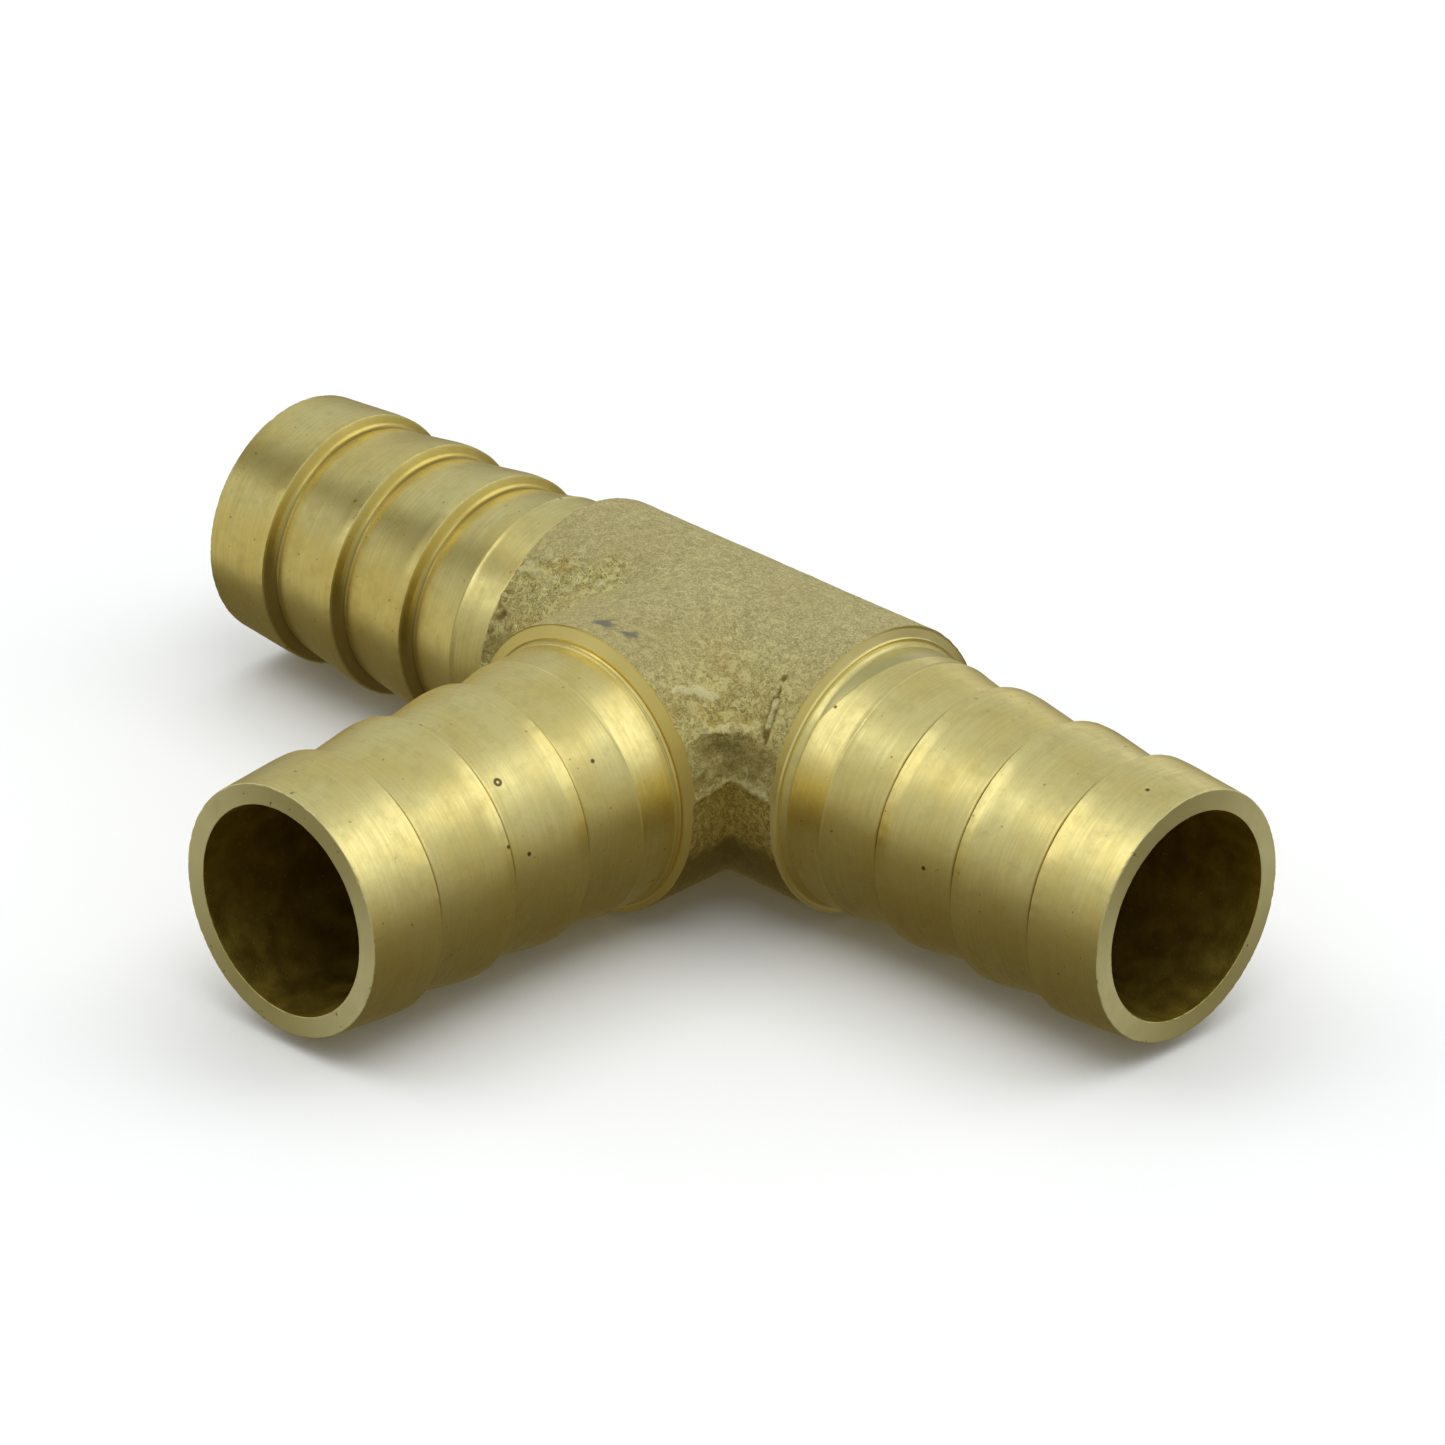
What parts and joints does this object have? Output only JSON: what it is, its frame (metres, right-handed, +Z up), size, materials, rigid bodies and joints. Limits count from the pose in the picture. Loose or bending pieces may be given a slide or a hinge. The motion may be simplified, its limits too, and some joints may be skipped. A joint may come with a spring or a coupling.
{
  "type": "barbed tee connector",
  "caption": "Equal tee for 19 mm hose: a forged brass body that holds turned brass tails, each ringed with barbs for a push-on hose.",
  "frame": {"origin": "point where the axis of the run and the axis of the branch cross", "axes": "+X along the run towards the right tail, -Y along the branch towards its tip, +Z up when the tee lies flat"},
  "size_m": [0.091, 0.0569, 0.0228],
  "materials": {
    "forged_brass": "as forged and shot-blasted, dull and grainy, with flat machined faces at the three ends",
    "turned_brass": "turned, satin, with fine rings round the tail and light tarnish"
  },
  "bodies": {
    "root": {"tee_body": "forged_brass", "run_tail_right": "turned_brass", "run_tail_left": "turned_brass", "branch_tail": "turned_brass"}
  },
  "joints": []
}
